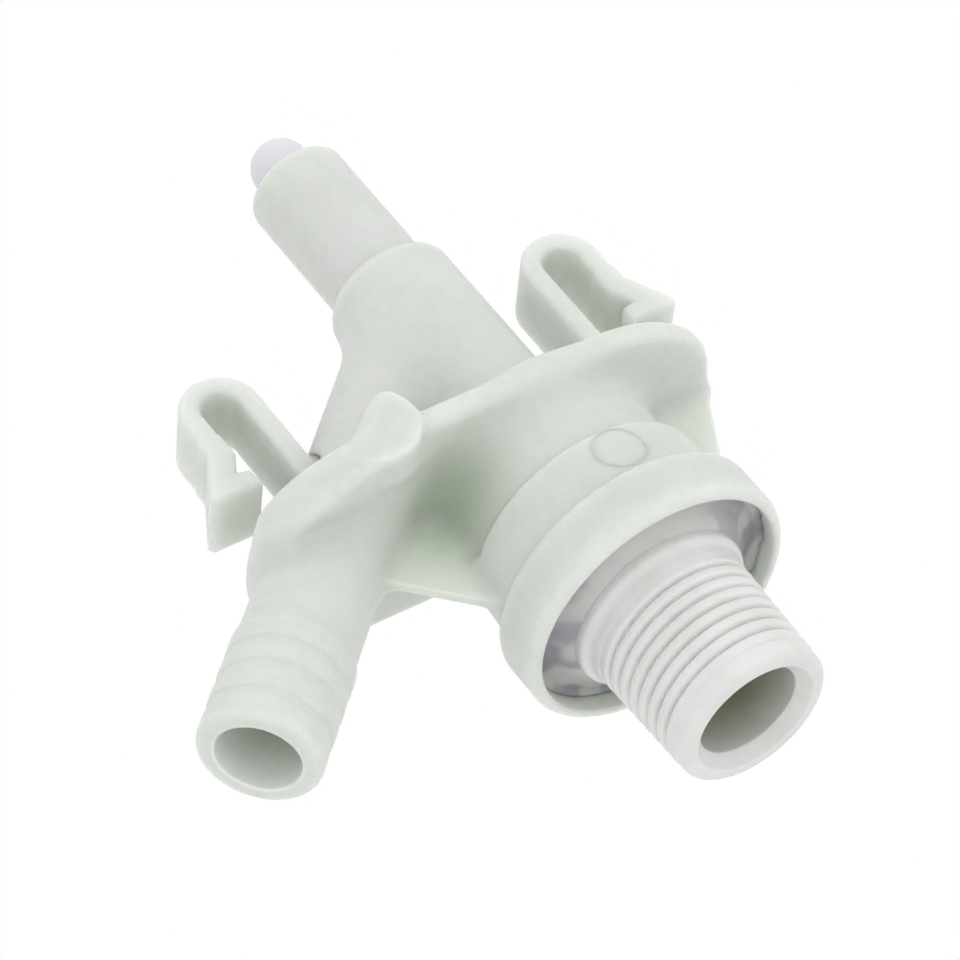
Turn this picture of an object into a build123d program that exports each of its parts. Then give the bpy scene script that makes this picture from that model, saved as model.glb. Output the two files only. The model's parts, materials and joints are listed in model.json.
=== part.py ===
"""Push-stem water valve with a threaded inlet, a diagonal hose outlet and two snap clips.

Millimetres. The origin is on the inlet axis, in the plane of the flange's back face.
+X runs along the inlet axis towards the threaded inlet, +Y along the flange's short arm and +Z is up.
"""
from build123d import *
import math
import os

os.makedirs("parts", exist_ok=True)

# ---- driving dimensions: housing ----
FLANGE_T = 3.3               # flange thickness, from x = 0
FLANGE_HALF_H = 16.7         # half height over the flange's two flats
FLANGE_RIGHT_Y = 25.2        # bowed ends of the flange
FLANGE_LEFT_Y = -38.4
FLANGE_END_R = 38.0          # radius of the bowed ends
FLANGE_RIGHT_CORNER = 11.5
FLANGE_LEFT_CORNER = 9.0
EDGE_R = 1.0                 # rounding of moulded outer edges
PAD_FRONT_X = 5.5            # front of the thickened pad above the outlet
PAD_RIGHT_Y = -23.6
LUG_R = 5.7                  # upright lug at the pad's end
LUG_AT = (-0.1, -22.8)
LUG_TOP_Z = 17.1             # a little proud of the flange's upper flat
WEB_T = 1.4                  # the two level webs in front of the flange

BARREL_R = 14.3              # barrel between the flange and the stepped front
BARREL_FRONT_X = 12.6
STEP_R = 15.6
STEP_FRONT_R = 16.15
COLLAR_X = 21.0              # back of the collar
COLLAR_R = 18.15
COLLAR_FRONT_X = 28.9
RIM_R = 16.5                 # inside of the collar
RECESS_X = 25.0              # front face of the inlet fitting's flange

MID_R = 8.55                 # rear body around the outlet chamber
SHOULDER_X = -31.2
TUBE_R = 6.7                 # plunger tube
TUBE_END_X = -52.4

OUTLET_ANGLE = 47.2          # between the inlet axis and the outlet axis, degrees
OUTLET_X = -24.7             # where the outlet axis meets the inlet axis
OUTLET_LENGTH = 72.5         # along the outlet axis, from there to the open end
REAR_TUBE_R = 6.6
NECK_R = 7.2
BARB_R = 7.7
BARB_DROP = 0.22             # depth of each shallow barb step
BARB_STARTS = (59.3, 63.0, 67.1)
BARB_RUN = 2.2               # length over which each step rises again
TAIL_STEP_S = 54.9           # where the neck begins to widen into the hose tail
TAIL_FULL_S = 57.4
OUTLET_BORE_R = 5.25

# ---- driving dimensions: bores and seats ----
CHAMBER_R = 12.2             # inlet chamber in the barrel
CHAMBER_X = 8.0              # back wall of the inlet chamber
SEAT_FRONT_X = 9.0           # top of the valve seat's raised lip
SEAT_BACK_X = 5.0
PORT_R = 5.6
SEAT_LIP_R = 6.7
OUTLET_CHAMBER_R = 6.4
OUTLET_CHAMBER_X = -23.5     # back end of the outlet chamber
TUBE_BORE_R = 5.3
END_WALL_X = -48.5           # inner face of the plunger tube's end wall
RUN_CLEARANCE = 0.06         # radial clearance of running fits
SEAT_CLEARANCE = 0.03        # gap left between pieces that sit in one another

# ---- driving dimensions: snap clips ----
CLIP_HALF_W = 5.0            # the clips are 10 mm wide in Z
CLIP_BACK_X = -25.75
CLIP_ARM_T = 2.7
CLIP_KINK_X = -14.9          # where the free arm turns outwards
CLIP_TIP_X = -8.4
CLIP_FOOT_X = -7.9
CLIP_RAMP_OUT = 3.75         # how far the catch stands out from the arm
CLIP_SPAN = 10.35            # from the fixed arm's outer side to the free arm's outer side
CLIP_RIGHT_Y = 13.75         # fixed arm's outer side on the right clip
CLIP_LEFT_Y = -25.4          # fixed arm's outer side on the left clip
CLIP_EDGE_R = 0.55
PIVOT_R = 1.36               # round end of the free arm, where the bend flexes
RELIEF_W = 0.9               # gap beside the round end that the free arm swings into

# ---- driving dimensions: inlet fitting ----
FITTING_BACK_X = 15.5
FITTING_FLANGE_X = 22.0
BOSS_R = 11.7
BOSS_FRONT_X = 29.4
INLET_NECK_R = 10.8
THREAD_X = 32.6              # first groove
THREAD_PITCH = 1.814         # 14 threads per inch
THREAD_RIDGES = 7
THREAD_CREST_R = 10.66       # at the first groove; the thread tapers 1 in 16 on diameter
THREAD_TAPER = 1.0 / 32.0
THREAD_DEPTH = 1.2
THREAD_ROOT = (0.10, 0.26)   # flat root of each groove, from the groove's start
THREAD_CREST = (0.92, 1.14)  # flat crest of the ridge that follows it
INLET_END_X = 48.4
INLET_BORE_R = 6.7
INLET_MOUTH_R = 8.1
INLET_CHAMFER = 1.6
COUNTERBORE_R = 9.4
COUNTERBORE_X = 29.4
GROOVE_X = (17.5, 19.7)      # O-ring groove in the fitting's spigot
GROOVE_R = 10.55

# ---- driving dimensions: plunger and poppet ----
PIN_R = 3.96
PIN_DOME_X = -55.5           # centre of the pin's round end
PIN_COLLAR_R = 4.9
PIN_COLLAR_X = (-48.2, -46.7)
STEM_R = 2.5
STEM_FRONT_X = 4.0
POPPET_R = 7.8
POPPET_BACK_X = 11.2
POPPET_FRONT_X = 13.4
POPPET_TAIL_X = 20.8
RETAINER_BACK_X = 7.3        # push-on ring that holds the poppet seal
RETAINER_TIP_R = 3.9
RETAINER_R = 4.6

# ---- driving dimensions: springs, as (start, end, mean radius, wire, turns) ----
RETURN_SPRING = (-46.67, -34.63, 4.1, 0.7, 6.5)
CLOSING_SPRING = (13.43, 22.97, 5.2, 0.8, 4.5)

# ---- driving dimensions: pieces in the fitting's counterbore ----
CARRIER_X = (23.0, 25.15)
CARRIER_HUB_X = 19.5
CARRIER_HUB_R = 4.1
CARRIER_HOLES = 6
CARRIER_HOLE_R = 1.35
CARRIER_HOLE_AT_R = 7.3
FLOW_WASHER_X = (25.25, 27.3)
FLOW_WASHER_HOLE_R = (2.2, 3.0)
STRAINER_X = (27.4, 29.3)
STRAINER_BORE_R = 7.2
STRAINER_BAR = (0.6, 15.0, 1.0)
MESH_GROOVE_X = (28.0, 28.5)
MESH_GROOVE_R = 8.2
MESH_T = 0.4
MESH_PITCH = 1.15
MESH_OPENING = 0.75
MESH_OPEN_R = 6.6            # the openings stay inside this radius

# ---- driving dimensions: pieces in the plunger tube ----
SPRING_WASHER_X = (-34.6, -34.05)
GLAND_X = (-34.0, -31.1)
REAR_SEAL_X = -29.65
SPACER_X = (-28.2, -27.3)
FRONT_SEAL_X = -25.85
RETAINING_RING_X = (-24.4, -23.6)
RETAINING_RING_BORE_R = 3.4
GUIDE_X = (-4.0, -1.6)
GUIDE_RIM_BORE_R = 5.4
GUIDE_HUB_R = 3.5
GUIDE_SPOKES = 3
GUIDE_SPOKE_W = 1.1


def export(node, shape):
    """Write one node, as its solids, to parts/NODE.step."""
    export_step(Compound(children=[Part(solid.wrapped) for solid in shape.solids()]), f"parts/{node}.step")


def turned(*corners):
    """Solid turned about the X axis from (x, r) or (x, r, fillet) corners."""
    points = [(corner[0], corner[1], 0) for corner in corners]
    radii = [corner[2] if len(corner) > 2 else 0 for corner in corners]
    return revolve(make_face(FilletPolyline(*points, radius=radii, close=True)), Axis.X)


def rod(x0, x1, r):
    """Plain cylinder on the X axis."""
    return Pos((x0 + x1) / 2, 0, 0) * Rot(0, 90, 0) * Cylinder(r, abs(x1 - x0))


def ring(x0, x1, r_out, r_in):
    return rod(x0, x1, r_out) - rod(x0 - 1, x1 + 1, r_in)


def o_ring(x, r_in, r_out):
    """O-ring around the X axis, centred at x."""
    section = (r_out - r_in) / 2
    return Pos(x, 0, 0) * Rot(0, 90, 0) * Torus(r_in + section, section)


def coil_spring(x0, x1, mean_r, wire, turns):
    """Open-wound helical spring on the X axis between x0 and x1."""
    length = x1 - x0 - wire
    path = Helix(pitch=length / turns, height=length, radius=mean_r)
    section = Plane(origin=path @ 0, z_dir=path % 0) * Circle(wire / 2)
    return Pos(x0 + wire / 2, 0, 0) * Rot(0, 90, 0) * sweep(section, path=path, is_frenet=True)


def on_outlet(shape):
    """Place a shape modelled along +X, from x = 0, on the outlet axis."""
    return Pos(OUTLET_X, 0, 0) * Rot(0, 0, -OUTLET_ANGLE) * shape


# ---- housing ----
def flange_outline():
    """Flat-topped plate with bowed ends and rounded corners, drawn in the YZ plane at x = 0."""
    right_end = Pos(FLANGE_RIGHT_Y - FLANGE_END_R, 0) * Circle(FLANGE_END_R)
    left_end = Pos(FLANGE_LEFT_Y + FLANGE_END_R, 0) * Circle(FLANGE_END_R)
    plate = right_end & left_end & Rectangle(4 * FLANGE_END_R, 2 * FLANGE_HALF_H)
    plate = fillet(plate.vertices().filter_by(lambda corner: corner.X > 0), FLANGE_RIGHT_CORNER)
    plate = fillet(plate.vertices().sort_by(Axis.X)[:2], FLANGE_LEFT_CORNER)
    return Plane.YZ * plate


def around_x(edge):
    """True for an edge that runs round a plate which stands square to the X axis."""
    return abs(edge.tangent_at(0.5).X) < 0.1


def flange():
    plate = extrude(flange_outline(), FLANGE_T)
    return fillet(plate.edges().filter_by(around_x), EDGE_R)


def outlet_pad():
    """Thickened upper left end of the flange, above the outlet."""
    upper_left = Plane.YZ * Pos(PAD_RIGHT_Y - 20, 20) * Rectangle(40, 40)
    pad = extrude(flange_outline() & upper_left, PAD_FRONT_X)
    return fillet(pad.edges().filter_by(around_x), EDGE_R)


def flange_lug():
    """Upright half-round lug where the pad ends, carried back onto the outlet tube."""
    behind = make_face(Polyline((-9.0, -14.6), (0.3, -26.3), (-3.0, -36.0), (-16.0, -20.0), close=True))
    lug = extrude(Pos(*LUG_AT) * Circle(LUG_R) - behind, LUG_TOP_Z)
    return fillet(lug.faces().sort_by(Axis.Z)[-1].edges(), EDGE_R / 2)


def barrel_and_collar():
    """Barrel with its fillet at the flange, the step and the collar."""
    foot = FLANGE_HALF_H - EDGE_R
    return turned(
        (1, 0), (1, foot), (FLANGE_T, foot), (FLANGE_T, BARREL_R, foot - BARREL_R - 0.01),
        (BARREL_FRONT_X, BARREL_R),
        (BARREL_FRONT_X, STEP_R, 0.9), (COLLAR_X, STEP_FRONT_R),
        (COLLAR_X, COLLAR_R - 0.7), (COLLAR_X + 0.9, COLLAR_R, 0.8),
        (COLLAR_FRONT_X, COLLAR_R, 1.5), (COLLAR_FRONT_X, 0),
    )


def rear_body():
    return turned(
        (FLANGE_T, 0), (FLANGE_T, MID_R), (SHOULDER_X, MID_R, 1.7), (SHOULDER_X, TUBE_R, 0.1),
        (TUBE_END_X, TUBE_R, 1.1), (TUBE_END_X, 0),
    )


def outlet_outside():
    """Rear tube, neck and shallow barbed hose tail, along the outlet axis."""
    rear = rod(0, 42, REAR_TUBE_R)
    corners = [(34, 0), (34, NECK_R), (TAIL_STEP_S, NECK_R), (TAIL_FULL_S, BARB_R)]
    for start in BARB_STARTS:
        corners += [(start, BARB_R), (start + 0.05, BARB_R - BARB_DROP), (start + BARB_RUN, BARB_R)]
    corners += [(OUTLET_LENGTH, BARB_R, 1.3), (OUTLET_LENGTH, 0)]
    return on_outlet(rear + turned(*corners))


def webs():
    """Two thin level webs in front of the flange, which brace the outlet and the collar."""
    left = Polyline((1, -10), (1, -27), (9.6, -37), (9.6, -26.3), (19.9, -15.8), (19.9, -10), close=True)
    right = Polyline((1, 10), (1, 24.2), (3.3, 24.6), (21.4, 15.8), (21.4, 10), close=True)
    return [Pos(0, 0, -WEB_T / 2) * extrude(make_face(line), WEB_T) for line in (left, right)]


def clip_outline(out):
    """Outline of a U clip in the XY plane, for a fixed arm whose outer side is on y = 0.

    out is +1 or -1: the side of the fixed arm that the free arm lies on.
    """
    t = CLIP_ARM_T
    far = CLIP_SPAN
    foot_in = far - t - 0.55
    corners = [
        (1.5, 0, 0), (CLIP_BACK_X, 0, 4.6), (CLIP_BACK_X, far, 4.6), (CLIP_KINK_X, far, 0.8),
        (CLIP_TIP_X, far + CLIP_RAMP_OUT, 0.4), (CLIP_FOOT_X, far + CLIP_RAMP_OUT - 0.4, 0.2),
        (CLIP_FOOT_X, foot_in, 0.4), (CLIP_FOOT_X - 2.4, foot_in, 0.3), (CLIP_FOOT_X - 2.6, far - t + 1.5, 0.3),
        (CLIP_KINK_X + 1.4, far - t, 0.6), (CLIP_BACK_X + t, far - t, 2.3), (CLIP_BACK_X + t, t, 2.3),
        (1.5, t, 0),
    ]
    points = [(x, out * y) for x, y, _ in corners]
    return make_face(FilletPolyline(*points, radius=[r for _, _, r in corners], close=True))


def clip(out, y):
    """One whole U clip, with its edges rounded."""
    solid = Pos(0, y, -CLIP_HALF_W) * extrude(clip_outline(out), 2 * CLIP_HALF_W)
    return fillet(solid.faces().filter_by(Axis.Z).edges(), CLIP_EDGE_R)


def clip_pivot(out, y):
    """Centre of the bend, about which the free arm flexes: (x, y)."""
    return CLIP_BACK_X + CLIP_ARM_T / 2, y + out * CLIP_SPAN / 2


def clip_halves(out, y):
    """The clip parted at its bend: (fixed half, free arm), with a round running joint between them."""
    px, py = clip_pivot(out, y)
    whole = clip(out, y)
    beyond = 60.0  # past the clip on every side
    free_side = Pos(px, py + out * beyond / 2, 0) * Box(beyond, beyond, beyond)
    knuckle = Pos(px, py, 0) * Cylinder(PIVOT_R, beyond)
    socket = Pos(px, py, 0) * Cylinder(PIVOT_R + RUN_CLEARANCE, beyond)
    relief = Pos(px, py, 0) * Box(2 * CLIP_ARM_T, RELIEF_W, beyond)
    free = (whole & free_side) + (whole & knuckle) - (relief - knuckle)
    fixed = whole - free_side - socket - relief
    return fixed, free


def valve_body(fixed_clips):
    body = flange() + outlet_pad() + flange_lug() + barrel_and_collar() + rear_body() + outlet_outside()
    for web in webs():
        body += web
    for fixed in fixed_clips:
        body += fixed
    # Outlet passage, from the outlet chamber to the hose tail's open end.
    body -= on_outlet(rod(8, OUTLET_LENGTH + 1, OUTLET_BORE_R))
    # Inlet chamber, with the valve seat's lip left standing, and the collar's recess.
    body -= rod(CHAMBER_X, FITTING_FLANGE_X + 1, CHAMBER_R) - rod(0, SEAT_FRONT_X, SEAT_LIP_R)
    body -= rod(FITTING_FLANGE_X, COLLAR_FRONT_X + 1, RIM_R)
    # Port, outlet chamber, plunger tube and the guide hole in its end wall.
    body -= rod(SEAT_BACK_X - 1, SEAT_FRONT_X + 1, PORT_R)
    body -= rod(OUTLET_CHAMBER_X, SEAT_BACK_X, OUTLET_CHAMBER_R)
    body -= rod(END_WALL_X, OUTLET_CHAMBER_X + 1, TUBE_BORE_R)
    body -= rod(TUBE_END_X - 1, END_WALL_X + 1, PIN_R + RUN_CLEARANCE)
    return body


# ---- inlet ----
def inlet_fitting():
    """Threaded nipple with its flange and spigot."""
    corners = [
        (FITTING_BACK_X, COUNTERBORE_R), (FITTING_BACK_X, CHAMBER_R - SEAT_CLEARANCE, 0.5),
        (GROOVE_X[0], CHAMBER_R - SEAT_CLEARANCE), (GROOVE_X[0], GROOVE_R),
        (GROOVE_X[1], GROOVE_R), (GROOVE_X[1], CHAMBER_R - SEAT_CLEARANCE),
        (FITTING_FLANGE_X + SEAT_CLEARANCE, CHAMBER_R - SEAT_CLEARANCE),
        (FITTING_FLANGE_X + SEAT_CLEARANCE, RIM_R - SEAT_CLEARANCE), (RECESS_X, RIM_R - SEAT_CLEARANCE),
        (RECESS_X, BOSS_R), (BOSS_FRONT_X, BOSS_R, 0.8), (BOSS_FRONT_X, INLET_NECK_R, 0.4),
        (THREAD_X, INLET_NECK_R, 0.3),
    ]
    for ridge in range(THREAD_RIDGES):
        x = THREAD_X + ridge * THREAD_PITCH
        crest = THREAD_CREST_R - THREAD_TAPER * (x - THREAD_X)
        corners += [
            (x + THREAD_ROOT[0], crest - THREAD_DEPTH), (x + THREAD_ROOT[1], crest - THREAD_DEPTH),
            (x + THREAD_CREST[0], crest), (x + THREAD_CREST[1], crest),
        ]
    band = THREAD_CREST_R - THREAD_TAPER * THREAD_RIDGES * THREAD_PITCH
    band_x = THREAD_X + THREAD_RIDGES * THREAD_PITCH
    corners += [
        (band_x + THREAD_ROOT[0], crest - THREAD_DEPTH), (band_x + THREAD_ROOT[1], crest - THREAD_DEPTH),
        (band_x + THREAD_CREST[0], band), (INLET_END_X, band, 0.7), (INLET_END_X, INLET_MOUTH_R),
        (INLET_END_X - INLET_CHAMFER, INLET_BORE_R), (COUNTERBORE_X, INLET_BORE_R),
        (COUNTERBORE_X, COUNTERBORE_R),
    ]
    return turned(*corners)


def cement_fill():
    """Set cement over the fitting's flange, climbing the boss and, a little, the collar's wall."""
    outer = RIM_R - SEAT_CLEARANCE
    inner = BOSS_R + SEAT_CLEARANCE
    floor = RECESS_X + SEAT_CLEARANCE
    return turned(
        (floor, inner), (floor, outer), (floor + 1.1, outer), (floor + 0.6, outer - 0.8, 0.6),
        (floor + 1.3, inner + 2.3, 2.0), (floor + 3.2, inner + 0.12), (floor + 3.2, inner),
    )


def strainer_frame():
    """Ring in the fitting's counterbore that holds the strainer disc."""
    rim = ring(*STRAINER_X, COUNTERBORE_R - SEAT_CLEARANCE, STRAINER_BORE_R)
    rim -= ring(*MESH_GROOVE_X, MESH_GROOVE_R, 1)
    bar = Pos(STRAINER_X[0] + STRAINER_BAR[0] / 2, 0, 0) * Box(*STRAINER_BAR)
    return rim + bar + Rot(90, 0, 0) * bar


def strainer_mesh():
    """Fine stainless disc with square openings."""
    disc = Circle(MESH_GROOVE_R - 0.05)
    count = math.ceil(MESH_OPEN_R / MESH_PITCH)
    for row in range(-count, count + 1):
        for column in range(-count, count + 1):
            if math.hypot(row, column) * MESH_PITCH < MESH_OPEN_R:
                disc -= Pos(column * MESH_PITCH, row * MESH_PITCH) * Rectangle(MESH_OPENING, MESH_OPENING)
    return Pos(MESH_GROOVE_X[0] + 0.05, 0, 0) * extrude(Plane.YZ * disc, MESH_T)


def flow_control_washer():
    """Soft washer whose hole narrows as the pressure rises."""
    back, front = FLOW_WASHER_X
    small, wide = FLOW_WASHER_HOLE_R
    return turned((back, small), (back, COUNTERBORE_R - 0.5), (front, COUNTERBORE_R - 0.1), (front, wide))


def spring_carrier():
    """Disc across the counterbore that seats the closing spring and guides the poppet's tail."""
    plate = ring(*CARRIER_X, COUNTERBORE_R - SEAT_CLEARANCE, STEM_R + RUN_CLEARANCE)
    hub = ring(CARRIER_HUB_X, CARRIER_X[0] + 1, CARRIER_HUB_R, STEM_R + RUN_CLEARANCE)
    carrier = plate + hub
    hole = Pos(0, 0, CARRIER_HOLE_AT_R) * rod(CARRIER_X[0] - 1, CARRIER_X[1] + 1, CARRIER_HOLE_R)
    for step in range(CARRIER_HOLES):
        carrier -= Rot(360 / CARRIER_HOLES * step, 0, 0) * hole
    return carrier


# ---- poppet ----
def poppet():
    """Valve disc with a nose through the port and a tail guided by the spring carrier."""
    return turned(
        (STEM_FRONT_X + 0.1, 0), (STEM_FRONT_X + 0.1, STEM_R, 0.3), (POPPET_BACK_X, STEM_R),
        (POPPET_BACK_X, POPPET_R, 0.3), (POPPET_FRONT_X, POPPET_R, 0.5), (POPPET_FRONT_X, STEM_R),
        (POPPET_TAIL_X, STEM_R, 0.4), (POPPET_TAIL_X, 0),
    )


def poppet_seal():
    return ring(SEAT_FRONT_X + 0.02, POPPET_BACK_X - 0.02, POPPET_R - 0.3, STEM_R + SEAT_CLEARANCE)


def poppet_seal_retainer():
    """Push-on ring that holds the seal against the poppet, inside the port."""
    bore = STEM_R + SEAT_CLEARANCE
    return turned(
        (RETAINER_BACK_X, bore), (RETAINER_BACK_X, RETAINER_TIP_R, 0.3), (SEAT_FRONT_X, RETAINER_R),
        (SEAT_FRONT_X, bore),
    )


# ---- plunger ----
def push_pin():
    """Round-ended pin, its stop collar and the long stem that lifts the poppet."""
    shaft = turned(
        (PIN_DOME_X, 0), (PIN_DOME_X, PIN_R), (PIN_COLLAR_X[0], PIN_R), (PIN_COLLAR_X[0], PIN_COLLAR_R, 0.2),
        (PIN_COLLAR_X[1], PIN_COLLAR_R, 0.2), (PIN_COLLAR_X[1], STEM_R), (STEM_FRONT_X, STEM_R, 0.4),
        (STEM_FRONT_X, 0),
    )
    return shaft + Pos(PIN_DOME_X, 0, 0) * Sphere(PIN_R)


def seal_gland():
    """Bush behind the stem seals."""
    back, front = GLAND_X
    return turned(
        (back, STEM_R + RUN_CLEARANCE), (back, TUBE_BORE_R - SEAT_CLEARANCE, 0.3),
        (front, TUBE_BORE_R - SEAT_CLEARANCE), (front, STEM_R + RUN_CLEARANCE),
    )


def stem_seal(x):
    """Stem O-ring, between the stem and the tube bore."""
    return o_ring(x, STEM_R + RUN_CLEARANCE, TUBE_BORE_R - SEAT_CLEARANCE)


def stem_guide():
    """Spoked ring that keeps the stem central in the outlet chamber."""
    rim = ring(*GUIDE_X, OUTLET_CHAMBER_R - SEAT_CLEARANCE, GUIDE_RIM_BORE_R)
    hub = ring(*GUIDE_X, GUIDE_HUB_R, STEM_R + RUN_CLEARANCE)
    guide = rim + hub
    length = GUIDE_X[1] - GUIDE_X[0]
    reach = GUIDE_RIM_BORE_R - GUIDE_HUB_R + 0.4
    spoke = Pos(sum(GUIDE_X) / 2, 0, (GUIDE_RIM_BORE_R + GUIDE_HUB_R) / 2) * Box(length, GUIDE_SPOKE_W, reach)
    for step in range(GUIDE_SPOKES):
        guide += Rot(360 / GUIDE_SPOKES * step, 0, 0) * spoke
    return guide


# ---- build and write every node ----
left_fixed, left_free = clip_halves(-1, CLIP_LEFT_Y)
right_fixed, right_free = clip_halves(1, CLIP_RIGHT_Y)

nodes = {
    "valve_body": valve_body([left_fixed, right_fixed]),
    "left_clip_arm": left_free,
    "right_clip_arm": right_free,
    "inlet_fitting": inlet_fitting(),
    "cement_fill": cement_fill(),
    "inlet_o_ring": o_ring((GROOVE_X[0] + GROOVE_X[1]) / 2, GROOVE_R + 0.02, CHAMBER_R - 0.02),
    "strainer_frame": strainer_frame(),
    "strainer_mesh": strainer_mesh(),
    "flow_control_washer": flow_control_washer(),
    "spring_carrier": spring_carrier(),
    "closing_spring": coil_spring(*CLOSING_SPRING),
    "poppet": poppet(),
    "poppet_seal": poppet_seal(),
    "poppet_seal_retainer": poppet_seal_retainer(),
    "push_pin": push_pin(),
    "return_spring": coil_spring(*RETURN_SPRING),
    "spring_washer": ring(*SPRING_WASHER_X, TUBE_BORE_R - 0.1, STEM_R + RUN_CLEARANCE),
    "seal_gland": seal_gland(),
    "rear_stem_seal": stem_seal(REAR_SEAL_X),
    "stem_seal_spacer": ring(*SPACER_X, TUBE_BORE_R - SEAT_CLEARANCE, STEM_R + RUN_CLEARANCE),
    "front_stem_seal": stem_seal(FRONT_SEAL_X),
    "gland_retaining_ring": ring(*RETAINING_RING_X, TUBE_BORE_R - SEAT_CLEARANCE, RETAINING_RING_BORE_R),
    "stem_guide": stem_guide(),
}
for name, shape in nodes.items():
    export(name, shape)
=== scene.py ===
"""Looks for a moulded push-stem water valve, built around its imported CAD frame.

Blender objects are in metres. The moulded body and its clips are drawn as signed distance fields in
millimetres, so that every corner where two shapes meet gets a moulder's fillet, and meshed at the end.
The inlet's axis is X, the outlet slants off towards -Y and Z is up. A field is negative inside a shape.
"""
import json
import math

import bmesh
import bpy
import numpy as np
from mathutils import Matrix, Vector


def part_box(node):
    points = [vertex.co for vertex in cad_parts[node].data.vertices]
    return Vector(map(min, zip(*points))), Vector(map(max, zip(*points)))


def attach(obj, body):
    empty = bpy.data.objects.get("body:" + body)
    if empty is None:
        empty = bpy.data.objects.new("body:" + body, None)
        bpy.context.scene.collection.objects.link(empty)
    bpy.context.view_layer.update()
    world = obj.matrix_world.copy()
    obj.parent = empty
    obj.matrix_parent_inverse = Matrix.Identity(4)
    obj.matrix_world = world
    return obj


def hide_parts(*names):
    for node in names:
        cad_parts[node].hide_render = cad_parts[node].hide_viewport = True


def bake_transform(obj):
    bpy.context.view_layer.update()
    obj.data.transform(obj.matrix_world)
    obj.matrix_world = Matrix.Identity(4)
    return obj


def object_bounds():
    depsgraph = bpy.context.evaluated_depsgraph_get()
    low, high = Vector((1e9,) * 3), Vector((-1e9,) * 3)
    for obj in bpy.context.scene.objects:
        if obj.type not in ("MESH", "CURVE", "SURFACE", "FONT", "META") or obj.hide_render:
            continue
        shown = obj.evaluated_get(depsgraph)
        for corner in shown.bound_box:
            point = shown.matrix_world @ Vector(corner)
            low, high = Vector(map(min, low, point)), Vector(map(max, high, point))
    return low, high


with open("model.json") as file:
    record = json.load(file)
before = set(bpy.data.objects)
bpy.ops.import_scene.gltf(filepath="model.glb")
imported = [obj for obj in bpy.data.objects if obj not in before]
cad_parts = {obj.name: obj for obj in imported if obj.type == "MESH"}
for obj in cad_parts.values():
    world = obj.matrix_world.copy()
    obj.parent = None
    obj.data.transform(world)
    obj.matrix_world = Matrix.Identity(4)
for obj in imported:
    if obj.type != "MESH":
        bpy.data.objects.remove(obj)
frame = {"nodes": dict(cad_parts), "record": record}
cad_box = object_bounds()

MM = 0.001

# ---- flange, with the pad and lug above the outlet, in millimetres ----
FLANGE_T, FLANGE_EDGE = 3.3, 1.5
FLANGE_HALF_H = 16.7
FLANGE_RIGHT_Y, FLANGE_LEFT_Y = 25.2, -38.4
FLANGE_END_R = 38.0
FLANGE_RIGHT_CORNER, FLANGE_LEFT_CORNER = 11.5, 9.0
LUG_X, LUG_Y, LUG_R, LUG_TOP_Z = -0.1, -22.8, 5.65, 17.15
LUG_FOOT_Z, LUG_EDGE = 9.0, 0.35
LUG_LOW_TOP_Z = FLANGE_HALF_H - 0.25
PAD_FADE_Z, PAD_FADE_RUN, PAD_FADE = 13.0, 4.5, 2.1
PAD_SOFT_EDGE, PAD_CRISP_CUT = 1.9, 1.55
CRISP_Y, CRISP_Z, CRISP_RUN = -29.0, 9.0, 6.0
BACK_SLOPE_X, BACK_SLOPE_Y, BACK_X, BACK_Y = 0.783, 0.623, -5.4, -19.1
BACK_EDGE = 2.2

# ---- barrel, tubes and webs ----
BARREL_R, BARREL_FRONT_X = 14.3, 12.6
STEP_R, STEP_FRONT_R = 15.6, 16.15
COLLAR_X, COLLAR_R, COLLAR_FRONT_X = 21.0, 18.1, 28.85
STEP_SLOPE = (STEP_FRONT_R - STEP_R) / (COLLAR_X - BARREL_FRONT_X)
RIM_R, RECESS_X = 16.5, 25.0
MID_R, SHOULDER_X = 8.5, -31.15
TUBE_R, TUBE_END_X = 6.67, -52.35
OUTLET_ANGLE, OUTLET_X, OUTLET_LENGTH = math.radians(47.2), -24.7, 72.45
REAR_TUBE_R, NECK_R, BARB_R = 6.6, 7.2, 7.67
BARB_STARTS, BARB_DROP, BARB_RUN = (59.3, 63.0, 67.1), 0.32, 2.2
OUTLET_BORE_R = 5.25
WEB_HALF_T, WEB_EDGE = 0.7, 0.3
LEFT_WEB = [(1, -10), (1, -27), (9.6, -37), (9.6, -26.3), (19.9, -15.8), (19.9, -10)]
RIGHT_WEB = [(1, 10), (1, 24.2), (3.3, 24.7), (21.4, 15.8), (21.4, 10)]

# ---- clips ----
CLIP_HALF_W, CLIP_T, CLIP_SPAN, CLIP_EDGE = 5.0, 2.7, 10.35, 0.85
CLIP_BACK_X, CLIP_KINK_X = -25.7, -14.9
CLIP_RIGHT_Y, CLIP_LEFT_Y = 13.75, -25.4

# ---- pin, and fitting with its thread ----
PIN_R, PIN_DOME_X = 3.96, -55.5
PIN_COLLAR_BACK_X, PIN_COLLAR_FRONT_X, PIN_COLLAR_R, PIN_STEM_R = -48.2, -46.7, 4.9, 2.5
FITTING_BORE_R, SPIGOT_BORE_R, SPIGOT_R, SPIGOT_BORE_END_X = 6.72, 9.4, 12.15, 29.5
FITTING_FLANGE_R, FITTING_FLANGE_X, FITTING_OUTSIDE_R = 16.45, 22.05, 9.0
BOSS_R, BOSS_FRONT_X = 11.7, 29.4
THREAD_X, THREAD_PITCH, THREAD_END_X = 32.6, 1.814, 45.3
THREAD_CREST_R, THREAD_TAPER, THREAD_DEPTH = 10.66, 1.0 / 32.0, 0.85
THREAD_LEAD_IN, THREAD_RUN_OUT, THREAD_FADE = 1.0, 0.6, 0.9
GROOVE_SHARPNESS = 3.6
TURNED_SPACING = 0.3

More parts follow.
